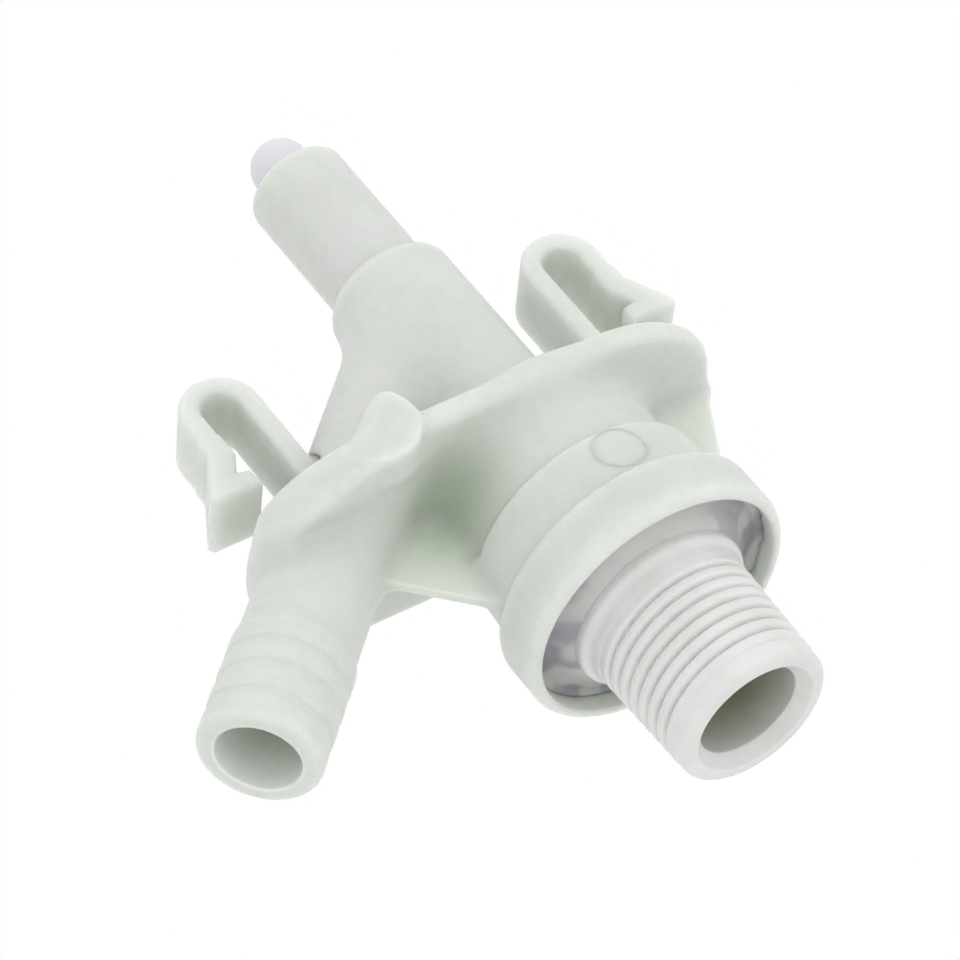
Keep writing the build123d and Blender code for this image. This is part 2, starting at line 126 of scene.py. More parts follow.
# ---- camera, floor and light ----
CAMERA_LENS, CAMERA_SENSOR = 195.2, 36.0
CAMERA_PLACE = (333.26, -265.74, 462.50)
CAMERA_RIGHT = (0.5495, 0.8325, 0.0707)
CAMERA_UP = (-0.645, 0.369, 0.6692)
CAMERA_BACK = (0.531, -0.4133, 0.7397)
FLOOR_HALF, FLOOR_DROP = 3.0, 0.02
WORLD_LOW, WORLD_HIGH = 1.0, 1.01
KEY_PLACE, KEY_SIZE, KEY_POWER = (0.10, 0.30, 0.70), 0.35, 0.15
CONTRAST = 0.55


# ---- distance fields ----
def soft_union(a, b, fillet):
    """Union of two fields, with a fillet of about this size where they meet."""
    blend = np.maximum(fillet - np.abs(a - b), 0.0) / fillet
    return np.minimum(a, b) - blend * blend * fillet * 0.25


def round_cut(a, b, edge):
    """Intersection of two fields, whose shared edge is rounded to this radius."""
    corner = np.hypot(np.maximum(a + edge, 0.0), np.maximum(b + edge, 0.0))
    return np.minimum(-edge, np.maximum(a, b)) + corner


def share(distance, run):
    """Rises evenly from 0 to 1 along a run, and stays there."""
    return np.clip(distance / run, 0.0, 1.0)


def rod(along, across, start, end, radius, edge):
    """Round bar between two stations on its axis, with rounded ends."""
    return round_cut(across - radius, np.abs(along - (start + end) / 2) - (end - start) / 2, edge)


def polygon(u, v, corners):
    """Distance to a closed polygon in the plane."""
    distance = np.full(u.shape, 1e9, u.dtype)
    inside = np.zeros(u.shape, bool)
    for (u0, v0), (u1, v1) in zip(corners, corners[1:] + corners[:1]):
        eu, ev = u1 - u0, v1 - v0
        wu, wv = u - u0, v - v0
        t = np.clip((wu * eu + wv * ev) / (eu * eu + ev * ev), 0.0, 1.0)
        distance = np.minimum(distance, (wu - t * eu) ** 2 + (wv - t * ev) ** 2)
        above, next_above = v0 > v, v1 > v
        inside ^= (above != next_above) & (u < u0 + eu * (v - v0) / (ev if ev else 1e-9))
    return np.where(inside, -1.0, 1.0) * np.sqrt(distance)


def outlet_frame(x, y, z):
    """Distance along the outlet's axis and distance from it."""
    along = (x - OUTLET_X) * math.cos(OUTLET_ANGLE) - y * math.sin(OUTLET_ANGLE)
    across = (x - OUTLET_X) * math.sin(OUTLET_ANGLE) + y * math.cos(OUTLET_ANGLE)
    return along, np.hypot(across, z)


def flange_field(x, y, z):
    """Flat-topped plate with bowed ends, and the pad and upright lug above the outlet."""
    flat = np.abs(z) - FLANGE_HALF_H
    right = np.hypot(y - (FLANGE_RIGHT_Y - FLANGE_END_R), z) - FLANGE_END_R
    left = np.hypot(y - (FLANGE_LEFT_Y + FLANGE_END_R), z) - FLANGE_END_R
    outline = np.maximum(
        round_cut(right, flat, FLANGE_RIGHT_CORNER),
        round_cut(left, flat, FLANGE_LEFT_CORNER),
    )
    plate = round_cut(outline, np.abs(x - FLANGE_T / 2) - FLANGE_T / 2, FLANGE_EDGE)

    # The pad ends in the lug's half round and runs back into the plate below it.
    sunk = share(PAD_FADE_Z - z, PAD_FADE_RUN)
    reach = LUG_R - PAD_FADE * sunk * sunk * (3 - 2 * sunk)
    pad_plan = np.hypot(x - LUG_X, np.maximum(y - LUG_Y, 0.0)) - reach
    behind = np.minimum(-BACK_SLOPE_X * (x - BACK_X) - BACK_SLOPE_Y * (y - BACK_Y), -x)
    # Its front edge is soft along the flange's end and crisp at the lug.
    crisp = share(y - CRISP_Y, CRISP_RUN) * share(z - CRISP_Z, CRISP_RUN)
    pad = round_cut(
        round_cut(outline, pad_plan, PAD_SOFT_EDGE - PAD_CRISP_CUT * crisp), behind, BACK_EDGE,
    )
    # It meets the flange in a wide fillet, which tightens towards the top edge.
    fillet = 1.0 + 5.0 * share(15.5 - z, 7.0)
    pad = soft_union(plate, np.maximum(pad, -z), fillet)

    # The lug's round end rises a little out of the pad, and stands proud of the flange on its far side.
    lug_end = np.hypot(x - LUG_X, y - LUG_Y) - reach
    rise = share(0.45 * x + 0.89 * (y - LUG_Y) + 4.0, 7.0)
    top = LUG_LOW_TOP_Z + (LUG_TOP_Z - LUG_LOW_TOP_Z) * rise
    lug = round_cut(
        round_cut(lug_end, np.maximum(z - top, LUG_FOOT_Z - z), LUG_EDGE), behind, BACK_EDGE,
    )
    return soft_union(pad, lug, fillet=0.8)


def barrel_field(x, r):
    """Barrel, stepped front and collar, all round the inlet axis."""
    barrel = rod(x, r, start=-1.0, end=16.0, radius=BARREL_R, edge=0.3)
    cone_r = STEP_R + STEP_SLOPE * (x - BARREL_FRONT_X)
    step = rod(x, r, start=BARREL_FRONT_X, end=24.0, radius=cone_r, edge=1.0)
    collar = rod(x, r, start=COLLAR_X - 0.15, end=COLLAR_FRONT_X, radius=COLLAR_R, edge=1.5)
    return np.minimum(soft_union(barrel, step, fillet=0.4), collar)


def outlet_field(x, y, z):
    """Rear tube, neck and shallow barbed hose tail."""
    along, across = outlet_frame(x, y, z)
    rear = rod(along, across, start=0.0, end=42.0, radius=REAR_TUBE_R, edge=1.0)
    widening = share(along - 54.9, 2.5)
    radius = NECK_R + (BARB_R - NECK_R) * widening * widening * (3 - 2 * widening)
    for start in BARB_STARTS:
        ramp = np.clip(1.0 - (along - start) / BARB_RUN, 0.0, 1.0)
        radius = radius - BARB_DROP * ramp * share(along - start, 0.7)
    tail = rod(along, across, start=33.0, end=OUTLET_LENGTH, radius=radius, edge=1.25)
    return soft_union(rear, tail, fillet=0.8)


def web_field(x, y, z):
    """Two thin level webs in front of the flange."""
    plan = np.minimum(polygon(x, y, LEFT_WEB), polygon(x, y, RIGHT_WEB))
    return round_cut(plan, np.abs(z) - WEB_HALF_T, WEB_EDGE)


def solid_field(x, y, z):
    """Outside of the whole moulding, without its clips."""
    r = np.hypot(y, z)
    middle = rod(x, r, start=SHOULDER_X, end=2.0, radius=MID_R, edge=1.9)
    plunger_tube = rod(x, r, start=TUBE_END_X, end=-20.0, radius=TUBE_R, edge=1.1)
    rear = soft_union(middle, plunger_tube, fillet=1.2)
    tubes = soft_union(rear, outlet_field(x, y, z), fillet=4.5)
    front = soft_union(flange_field(x, y, z), barrel_field(x, r), fillet=4.2)
    body = soft_union(tubes, front, fillet=2.6)
    return soft_union(body, web_field(x, y, z), fillet=2.4)


def body_field(x, y, z):
    """The moulding with its bores and chambers."""
    r = np.hypot(y, z)
    along, across = outlet_frame(x, y, z)
    hollow = np.maximum(across - OUTLET_BORE_R, 8.0 - along)
    # The pin's hole, the spring's chamber, the water's chamber, the seat and the inlet.
    for start, end, radius in (
        (-60.0, -40.0, PIN_R + 0.06), (-48.5, -20.0, 5.3), (-23.5, 5.0, 6.4), (4.0, 10.0, 5.6),
        (8.0, 30.0, 12.2),
    ):
        chamber = np.maximum(r - radius, np.abs(x - (start + end) / 2) - (end - start) / 2)
        hollow = np.minimum(hollow, chamber)
    body = round_cut(solid_field(x, y, z), -hollow, edge=0.35)
    recess = np.maximum(r - RIM_R, 22.0 - x)
    return round_cut(body, -recess, edge=0.45)


def clip_plan(x, across):
    """U clip seen from above; across is measured from the fixed arm's outer side towards the free arm."""
    middle = CLIP_SPAN / 2
    reach = np.hypot(np.minimum(x - (CLIP_BACK_X + middle), 0.0), across - middle)
    bow = np.maximum(reach - middle, middle - CLIP_T - reach)
    arms = np.maximum(bow, x - np.where(across < middle, 1.0, CLIP_KINK_X + 0.6))
    inner, outer = CLIP_SPAN - CLIP_T, CLIP_SPAN
    catch = polygon(x, across, [
        (-17.0, inner), (-13.6, inner), (-10.7, inner + 1.6), (-10.3, inner - 0.1), (-8.1, inner - 0.4),
        (-8.1, outer + 3.0), (-8.7, outer + 3.4), (CLIP_KINK_X, outer), (-17.0, outer),
    ])
    return soft_union(arms, catch - 0.2, fillet=0.35)


def clip_field(side, edge_y):
    """Field of one clip: side is +1 or -1, edge_y the outer side of its fixed arm.

    The fillet at its root lies on the body, and its rim stays just under the body's surface.
    """
    def field(x, y, z):
        plan = clip_plan(x, (y - edge_y) * side)
        clip = round_cut(plan, np.abs(z) - CLIP_HALF_W, CLIP_EDGE)
        body = solid_field(x, y, z) + 0.05
        return np.maximum(soft_union(clip, body, fillet=1.4), clip - 1.3)
    return field


# ---- meshing ----
def add_object(name, data):
    """New object in the scene."""
    obj = bpy.data.objects.new(name, data)
    bpy.context.scene.collection.objects.link(obj)
    return obj


def sample(field, points):
    """Field values at many points, worked through in pieces that fit the processor's cache."""
    piece = 60000
    values = np.empty(len(points), np.float32)
    for start in range(0, len(points), piece):
        block = points[start:start + piece]
        values[start:start + piece] = field(block[:, 0], block[:, 1], block[:, 2])
    return values


def slopes(field, points):
    """Unit outward normals of the field at many points."""
    step = 0.02
    result = np.empty_like(points)
    for axis in range(3):
        ahead, behind = points.copy(), points.copy()
        ahead[:, axis] += step
        behind[:, axis] -= step
        result[:, axis] = sample(field, ahead) - sample(field, behind)
    return result / np.maximum(np.linalg.norm(result, axis=1), 1e-9)[:, None]


def sampled_grid(field, low, high, spacing):
    """Field on a regular grid: exact near the surface, and plus or minus one away from it."""
    block = 6
    counts = [int(math.ceil((high[i] - low[i]) / spacing / block)) for i in range(3)]
    centres = np.stack(np.meshgrid(*[
        low[i] + (np.arange(counts[i]) * block + (block - 1) / 2) * spacing for i in range(3)
    ], indexing="ij"), -1)
    coarse = sample(field, centres.reshape(-1, 3)).reshape(counts)
    near = np.abs(coarse) < block * spacing * 1.25
    grid = np.where(coarse > 0, 1.0, -1.0).astype(np.float32)
    for axis in range(3):
        near = near.repeat(block, axis)
        grid = grid.repeat(block, axis)
    grid[near] = sample(field, np.asarray(low) + np.argwhere(near) * spacing)
    return grid


def surface_net(field, low, high, spacing):
    """Closed quad mesh of the field's zero surface: (points, faces)."""
    grid = sampled_grid(field, low, high, spacing)
    inside = grid < 0
    corner = np.array([(i, j, k) for i in (0, 1) for j in (0, 1) for k in (0, 1)])
    last = np.array(inside.shape) - 1
    total = sum(
        inside[i:last[0] + i, j:last[1] + j, k:last[2] + k].astype(np.int8) for i, j, k in corner
    )
    cells = np.argwhere((total > 0) & (total < 8))

    # Each cell that the surface crosses gets one point, at the mean of the crossings on its edges.
    values = np.stack([grid[tuple((cells + c).T)] for c in corner], 1)
    place = np.zeros((len(cells), 3))
    found = np.zeros(len(cells))
    for a in range(8):
        for b in range(a + 1, 8):
            if np.abs(corner[a] - corner[b]).sum() != 1:
                continue
            va, vb = values[:, a], values[:, b]
            cut = (va < 0) != (vb < 0)
            t = np.where(cut, va / np.where(cut, va - vb, 1.0), 0.0)
            place += np.where(cut[:, None], corner[a] + t[:, None] * (corner[b] - corner[a]), 0.0)
            found += cut
    points = np.asarray(low) + (cells + place / found[:, None]) * spacing

    # Each grid edge that the surface crosses gets one face, between the four cells round it.
    number = np.full(grid.shape, -1, np.int32)
    number[tuple(cells.T)] = np.arange(len(cells))
    faces = []
    for axis in range(3):
        edges = np.argwhere(inside != np.roll(inside, -1, axis))
        edges = edges[edges[:, axis] < last[axis]]
        step_b, step_c = np.eye(3, dtype=int)[[(axis + 1) % 3, (axis + 2) % 3]]
        ring = [edges, edges - step_b, edges - step_b - step_c, edges - step_c]
        quad = np.stack([number[tuple(r.T)] for r in ring], 1)
        outward = inside[tuple(edges.T)]
        faces.append(np.where(outward[:, None], quad, quad[:, ::-1]))
    return points, np.concatenate(faces)


def settle(field, points, reach):
    """Points moved onto the field's zero surface."""
    for _ in range(3):
        depth = np.clip(sample(field, points), -reach, reach)
        points = points - slopes(field, points) * depth[:, None]
    return points


def mesh_from_field(name, field, low, high, spacing, keep):
    """Object of the field's surface, thinned to a share of its faces and shaded from the field itself."""
    points, faces = surface_net(field, low, high, spacing)
    points = settle(field, points, spacing * 0.4)
    mesh = bpy.data.meshes.new(name)
    mesh.from_pydata((points * MM).tolist(), [], faces.tolist())
    mesh.validate()
    obj = add_object(name, mesh)
    if keep < 1.0:
        thin = obj.modifiers.new("thin", "DECIMATE")
        thin.ratio = keep
        made = bpy.data.meshes.new_from_object(obj.evaluated_get(bpy.context.evaluated_depsgraph_get()))
        obj.modifiers.clear()
        obj.data = made
        made.name = name
    mesh = obj.data
    places = np.empty(len(mesh.vertices) * 3, np.float32)
    mesh.vertices.foreach_get("co", places)
    normals = slopes(field, places.reshape(-1, 3).astype(float) / MM)
    mesh.shade_smooth()
    mesh.normals_split_custom_set_from_vertices(normals.tolist())
    return obj


# ---- camera, floor and lights ----
def camera():
    """Camera at the photograph's viewing angle, which looks down on the valve from its inlet end."""
    data = bpy.data.cameras.new("camera")
    data.lens = CAMERA_LENS
    data.sensor_width = CAMERA_SENSOR
    data.clip_start, data.clip_end = 0.01, 20.0
    obj = add_object("camera", data)
    axes = Matrix((Vector(CAMERA_RIGHT), Vector(CAMERA_UP), Vector(CAMERA_BACK))).transposed()
    obj.matrix_world = Matrix.Translation(Vector(CAMERA_PLACE) * MM) @ axes.to_4x4()
    bpy.context.scene.camera = obj


def floor():
    """Plain white floor under the valve, lit from within like a light table, so it takes no shadow."""
    half = FLOOR_HALF
    mesh = bpy.data.meshes.new("floor")
    mesh.from_pydata(
        [(-half, -half, 0), (half, -half, 0), (half, half, 0), (-half, half, 0)], [], [(0, 1, 2, 3)],
    )
    obj = add_object("floor", mesh)
    obj.location.z = cad_box[0].z - FLOOR_DROP
    material = bpy.data.materials.new("floor_white")
    material.use_nodes = True
    shader = material.node_tree.nodes["Principled BSDF"]
    shader.inputs["Base Color"].default_value = (0, 0, 0, 1)
    shader.inputs["Specular IOR Level"].default_value = 0.0
    shader.inputs["Emission Color"].default_value = (1, 1, 1, 1)
    shader.inputs["Emission Strength"].default_value = 1.0
    obj.data.materials.append(material)
    obj.visible_diffuse = obj.visible_glossy = obj.visible_transmission = False


def lights():
    """Bright and nearly even surround, with one large soft light above for the gloss."""
    world = bpy.data.worlds.new("studio")
    world.use_nodes = True
    tree = world.node_tree
    place = tree.nodes.new("ShaderNodeTexCoord")
    split = tree.nodes.new("ShaderNodeSeparateXYZ")
    height = tree.nodes.new("ShaderNodeMapRange")
    height.inputs["From Min"].default_value = -1.0
    height.inputs["From Max"].default_value = 1.0
    height.inputs["To Min"].default_value = WORLD_LOW
    height.inputs["To Max"].default_value = WORLD_HIGH
    tree.links.new(place.outputs["Generated"], split.inputs["Vector"])
    tree.links.new(split.outputs["Z"], height.inputs["Value"])
    tree.links.new(height.outputs["Result"], tree.nodes["Background"].inputs["Strength"])
    tree.nodes["Background"].inputs["Color"].default_value = (1, 1, 1, 1)
    bpy.context.scene.world = world

    data = bpy.data.lights.new("key", "AREA")
    data.size = KEY_SIZE
    data.energy = KEY_POWER
    key = add_object("key", data)
    key.location = KEY_PLACE
    key.rotation_mode = "QUATERNION"
    key.rotation_quaternion = Vector(KEY_PLACE).to_track_quat("Z", "Y")
    bpy.context.scene.view_settings.view_transform = "Standard"
    bpy.context.scene.view_settings.gamma = CONTRAST


# ---- materials ----
class Nodes:
    """Short way to add and join a material's nodes."""

    def __init__(self, name):
        self.material = bpy.data.materials.new(name)
        self.material.use_nodes = True
        self.tree = self.material.node_tree
        self.shader = self.tree.nodes["Principled BSDF"]

    def put(self, socket, value):
        """Join a socket to another one, or set its value; a colour may leave out its alpha."""
        if isinstance(value, bpy.types.NodeSocket):
            self.tree.links.new(value, socket)
        elif socket.type == "RGBA" and len(value) == 3:
            socket.default_value = (*value, 1)
        else:
            socket.default_value = value

    def add(self, kind, inputs=None, **settings):
        """New node, with its settings and then its inputs."""
        node = self.tree.nodes.new(kind)
        for key, value in settings.items():
            setattr(node, key, value)
        for key, value in (inputs or {}).items():
            self.put(node.inputs[key], value)
        return node

    def place(self):
        """Place on the object, in metres."""
        return self.add("ShaderNodeTexCoord").outputs["Object"]

    def noise(self, scale, detail=3.0, roughness=0.5):
        return self.add("ShaderNodeTexNoise", {
            "Vector": self.place(), "Scale": scale, "Detail": detail, "Roughness": roughness,
        }).outputs["Fac"]

    def ramp(self, value, stops):
        """Colour that follows a value through (position, colour) stops."""
        node = self.add("ShaderNodeValToRGB", {"Fac": value})
        elements = node.color_ramp.elements
        while len(elements) < len(stops):
            elements.new(0.5)
        for element, (position, colour) in zip(elements, stops):
            element.position = position
            element.color = (*colour, 1)
        return node.outputs["Color"]

    def remap(self, value, from_low, from_high, to_low, to_high, **settings):
        """Value carried over from one range to another, and held at the ends."""
        return self.add("ShaderNodeMapRange", {
            "Value": value, "From Min": from_low, "From Max": from_high,
            "To Min": to_low, "To Max": to_high,
        }, **settings).outputs["Result"]

    def product(self, first, second):
        return self.add("ShaderNodeMath", {0: first, 1: second}, operation="MULTIPLY").outputs[0]

    def from_x_axis(self, place):
        """Distance of a place from the X axis."""
        across = self.add("ShaderNodeVectorMath", {0: place, 1: (0.0, 1.0, 1.0)}, operation="MULTIPLY")
        return self.add("ShaderNodeVectorMath", {0: across.outputs["Vector"]},
                        operation="LENGTH").outputs["Value"]

    def part(self, place, axis):
        """One coordinate of a place."""
        return self.add("ShaderNodeSeparateXYZ", {"Vector": place}).outputs[axis]

    def mix(self, amount, first, second, blend="MIX"):
        """Second colour laid over the first one."""
        node = self.add("ShaderNodeMix", data_type="RGBA", blend_type=blend)
        colours = [socket for socket in node.inputs if socket.type == "RGBA"]
        self.put(node.inputs[0], amount)
        self.put(colours[0], first)
        self.put(colours[1], second)
        return next(socket for socket in node.outputs if socket.type == "RGBA")

    def bump(self, height, strength, distance, normal=None):
        inputs = {"Height": height, "Strength": strength, "Distance": distance}
        if normal is not None:
            inputs["Normal"] = normal
        return self.add("ShaderNodeBump", inputs).outputs["Normal"]

    def surface(self, colour, roughness, normal, **constants):
        """Finished material; the constants are named as the shader's inputs, with _ for a space."""
        self.put(self.shader.inputs["Base Color"], colour)
        self.put(self.shader.inputs["Roughness"], roughness)
        self.put(self.shader.inputs["Normal"], normal)
        for key, value in constants.items():
            self.shader.inputs[key.replace("_", " ")].default_value = value
        return self.material


def body_plastic(name, depth_of_light, painted_shade_factor=1.0):
    """Milky green-white moulded plastic: cloudy inside, satin outside, with painted shade in the crevice
    between barrel, flange and outlet, and painted light in the hose tail's bore.
    """
    m = Nodes(name)
    cloud = m.ramp(m.noise(75.0, 3.0, 0.55), [
        (position, tuple(painted_shade_factor * value for value in colour)) for position, colour in (
            (0.34, (0.800, 0.820, 0.790)), (0.5, (0.812, 0.828, 0.804)), (0.66, (0.822, 0.835, 0.816)),
        )
    ])
    speckle = m.ramp(m.noise(560.0, 4.0, 0.6), [(0.38, (0.985, 0.986, 0.983)), (0.56, (1.0, 1.0, 1.0))])
    clouded = m.mix(1.0, cloud, speckle, "MULTIPLY")

    # Painted shade: darker green towards the crevice between the barrel and the outlet, just in front of the
    # flange.
    place = m.place()
    away = m.add("ShaderNodeVectorMath", {0: place, 1: (0.005, -0.0140, 0.0048)}, operation="DISTANCE")
    crevice_shade = m.remap(away.outputs["Value"], 0.001, 0.0115, 1.0, 0.0, interpolation_type="SMOOTHSTEP")
    shaded = m.mix(crevice_shade, clouded, (0.67, 0.712, 0.645))

    # Painted light: the hose tail's bore is painted much paler, standing in for light that comes through its
    # wall.
    tail = m.add("ShaderNodeMapping", {
        "Vector": place, "Location": (OUTLET_X * MM, 0.0, 0.0), "Rotation": (0.0, 0.0, -OUTLET_ANGLE),
    }, vector_type="TEXTURE").outputs["Vector"]
    in_bore = m.remap(m.from_x_axis(tail), 0.0053, 0.0056, 1.0, 0.0)
    in_tail = m.remap(m.part(tail, "X"), 0.040, 0.050, 0.0, 1.0)
    colour = m.mix(m.product(in_bore, in_tail), shaded, (0.96, 0.98, 0.94))

    rough = m.remap(m.noise(900.0, 2.0), 0.0, 1.0, 0.40, 0.54)
    grain = m.bump(m.noise(2600.0, 3.0, 0.6), 0.14, 0.0002)
    waves = m.bump(m.noise(160.0, 2.0), 0.12, 0.0006, grain)
    return m.surface(
        colour, rough, waves, IOR=1.49, Subsurface_Weight=1.0 if depth_of_light else 0.0,
        Subsurface_Radius=(1.0, 1.08, 0.96), Subsurface_Scale=depth_of_light or 0.001,
    )


def white_plastic():
    """Plain white moulded plastic of the threaded fitting, with fine tool marks, and painted shade with an
    olive stain's tint inside its waterway.
    """
    m = Nodes("fitting_plastic")
    outside = m.ramp(m.noise(140.0), [(0.35, (0.85, 0.85, 0.84)), (0.65, (0.89, 0.89, 0.885))])
    # Painted shade: the bore behind the mouth is painted dark olive, which also gives it a stain's tint.
    bore_shade_and_stain = m.ramp(m.noise(220.0), [(0.35, (0.67, 0.67, 0.56)), (0.65, (0.74, 0.74, 0.64))])
    place = m.place()
    in_bore = m.remap(m.from_x_axis(place), 0.00675, 0.0069, 1.0, 0.0)
    behind_mouth = m.remap(m.part(place, "X"), 0.039, 0.0465, 1.0, 0.0)
    colour = m.mix(m.product(in_bore, behind_mouth), outside, bore_shade_and_stain)
    rough = m.remap(m.noise(1100.0), 0.0, 1.0, 0.42, 0.56)
    grain = m.bump(m.noise(3000.0, 4.0, 0.65), 0.16, 0.0002)
    return m.surface(colour, rough, grain, IOR=1.48, Subsurface_Weight=0.25,
                     Subsurface_Radius=(1.0, 0.95, 0.8), Subsurface_Scale=0.0006)


def pin_plastic():
    """Smooth white acetal with a faint lavender cast."""
    m = Nodes("pin_plastic")
    colour = m.ramp(m.noise(120.0), [(0.35, (0.84, 0.835, 0.86)), (0.65, (0.865, 0.86, 0.885))])
    rough = m.remap(m.noise(1400.0), 0.0, 1.0, 0.26, 0.38)
    grain = m.bump(m.noise(2400.0), 0.06, 0.0002)
    return m.surface(colour, rough, grain, IOR=1.48, Subsurface_Weight=0.7,
                     Subsurface_Radius=(1.0, 1.0, 1.05), Subsurface_Scale=0.0012)


def cement():
    """Grey set cement in uneven patches, painted paler towards the top as painted light."""
    m = Nodes("cement")
    patches = m.noise(170.0, 2.0, 0.35)
    colour = m.ramp(patches, [
        (0.42, (0.545, 0.54, 0.565)), (0.47, (0.59, 0.585, 0.61)), (0.51, (0.68, 0.675, 0.69)),
        (0.58, (0.72, 0.715, 0.70)),
    ])
    # Painted light: the cement's colour is lightened towards the top.
    painted_light_top = m.mix(m.remap(m.part(m.place(), "Z"), 0.0, 0.014, 0.0, 0.6), colour, (0.84, 0.835, 0.83))
    rough = m.remap(patches, 0.0, 1.0, 0.5, 0.7)
    return m.surface(painted_light_top, rough, m.bump(m.noise(420.0, 3.0), 0.15, 0.0003))


def inner_plastic():
    """Off-white plastic of the hidden bushes, guides and strainer."""
    m = Nodes("inner_plastic")
    colour = m.ramp(m.noise(150.0), [(0.35, (0.76, 0.76, 0.74)), (0.65, (0.82, 0.82, 0.80))])
    rough = m.remap(m.noise(900.0), 0.0, 1.0, 0.4, 0.55)
    return m.surface(colour, rough, m.bump(m.noise(2500.0), 0.1, 0.0002))


def seal_rubber():
    """Black rubber with a dull grain."""
    m = Nodes("seal_rubber")
    colour = m.ramp(m.noise(500.0), [(0.4, (0.018, 0.018, 0.019)), (0.6, (0.035, 0.035, 0.036))])
    rough = m.remap(m.noise(1200.0), 0.0, 1.0, 0.45, 0.7)
    return m.surface(colour, rough, m.bump(m.noise(3000.0, 4.0), 0.25, 0.0002))


def stainless_steel():
    """Drawn wire and pressed strip, a little uneven in its shine."""
    m = Nodes("stainless_steel")
    colour = m.ramp(m.noise(300.0), [(0.4, (0.52, 0.52, 0.53)), (0.6, (0.64, 0.64, 0.64))])
    rough = m.remap(m.noise(2200.0), 0.0, 1.0, 0.18, 0.36)
    return m.surface(colour, rough, m.bump(m.noise(3500.0), 0.1, 0.0001), Metallic=1.0)


# ---- pieces ----
def place_piece(obj, body, material, replaced=()):
    """Give a new piece its material, its body and the CAD nodes that it stands for."""
    obj.data.materials.clear()
    obj.data.materials.append(material)
    if body:
        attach(obj, body)
    if replaced:
        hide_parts(*replaced)
    return obj


def lathe(name, stations, turns, bend=None):
    """Surface turned about X from (x, r) stations that form a closed ring, smooth all over.

    bend(x, r, angle) may change a station at each angle, as for a screw thread.
    """
    count = len(stations)
    points = []
    for step in range(turns):
        angle = 2 * math.pi * step / turns
        for x, r in stations:
            if bend:
                x, r = bend(x, r, angle)
            points.append((x * MM, r * math.cos(angle) * MM, r * math.sin(angle) * MM))
    faces = []
    for step in range(turns):
        here, there = step * count, (step + 1) % turns * count
        for i in range(count):
            j = (i + 1) % count
            faces.append((here + i, here + j, there + j, there + i))
    mesh = bpy.data.meshes.new(name)
    mesh.from_pydata(points, [], faces)
    mesh.shade_smooth()
    bm = bmesh.new()
    bm.from_mesh(mesh)
    bmesh.ops.remove_doubles(bm, verts=bm.verts, dist=1e-7)
    bmesh.ops.recalc_face_normals(bm, faces=bm.faces)
    bm.to_mesh(mesh)
    bm.free()
    return add_object(name, mesh)


def rounded_line(corners):
    """(x, r) stations along a line through corners, each rounded by its own radius."""
    line = []
    for i, (x, r, radius) in enumerate(corners):
        here = np.array((x, r))
        if radius <= 0:
            line.append(here)
            continue
        before = np.array(corners[i - 1][:2]) - here
        after = np.array(corners[i + 1][:2]) - here
        before /= np.linalg.norm(before)
        after /= np.linalg.norm(after)
        weight = math.sin(math.acos(np.clip(before @ after, -1, 1)) / 2)
        run = radius * math.sqrt(1 - weight * weight) / weight
        first, last = here + before * run, here + after * run
        for t in np.linspace(0, 1, 6):
            a, b, c = (1 - t) ** 2, 2 * t * (1 - t) * weight, t * t
            line.append((a * first + b * here + c * last) / (a + b + c))
    stations = []
    for start, end in zip(line, line[1:]):
        steps = max(1, int(np.linalg.norm(end - start) / TURNED_SPACING))
        stations += [tuple(start + (end - start) * k / steps) for k in range(steps)]
    return stations + [tuple(line[-1])]


def thread_shape(x, r, angle):
    """Cuts the right-hand taper thread into the fitting's outer surface: round ridges, narrow grooves."""
    threaded = THREAD_X - THREAD_LEAD_IN < x < THREAD_END_X + THREAD_RUN_OUT
    if r < FITTING_OUTSIDE_R or not threaded:
        return x, r
    phase = ((x - THREAD_X) / THREAD_PITCH - angle / (2 * math.pi)) % 1.0
    groove = abs(2 * phase - 1) ** GROOVE_SHARPNESS
    fade_in = min(1.0, max(0.0, (x - THREAD_X + THREAD_FADE) / THREAD_FADE))
    fade_out = min(1.0, max(0.0, (THREAD_END_X + 0.5 - x) / THREAD_FADE))
    return x, r - THREAD_DEPTH * groove * fade_in * fade_out


def fitting():
    """White threaded inlet fitting, with a true helical thread."""
    low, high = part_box("inlet_fitting")
    back, front = low.x / MM, high.x / MM
    end_r = THREAD_CREST_R - THREAD_TAPER * (THREAD_END_X - THREAD_X) - 0.12
    behind = rounded_line([
        (SPIGOT_BORE_END_X, FITTING_BORE_R, 0), (SPIGOT_BORE_END_X, SPIGOT_BORE_R, 0),
        (back, SPIGOT_BORE_R, 0), (back, SPIGOT_R, 0.5), (FITTING_FLANGE_X, SPIGOT_R, 0),
        (FITTING_FLANGE_X, FITTING_FLANGE_R, 0), (RECESS_X, FITTING_FLANGE_R, 0),
        (RECESS_X, BOSS_R, 0.3), (BOSS_FRONT_X, BOSS_R, 1.0), (30.2, 10.9, 1.2),
        (THREAD_X - 1.1, 10.72, 0),
    ])
    crests = [
        (x, THREAD_CREST_R - THREAD_TAPER * (x - THREAD_X))
        for x in np.arange(THREAD_X - THREAD_LEAD_IN, THREAD_END_X + THREAD_RUN_OUT, 0.1)
    ]
    ahead = rounded_line([
        (THREAD_END_X + 0.65, end_r, 0), (front, end_r, 1.1), (front, 8.15, 0.25),
        (front - 1.6, FITTING_BORE_R, 0.4), (SPIGOT_BORE_END_X + 0.1, FITTING_BORE_R, 0),
    ])
    obj = lathe("threaded_fitting", behind + crests + ahead, 224, thread_shape)
    return place_piece(obj, "housing", white_plastic(), ["inlet_fitting"])


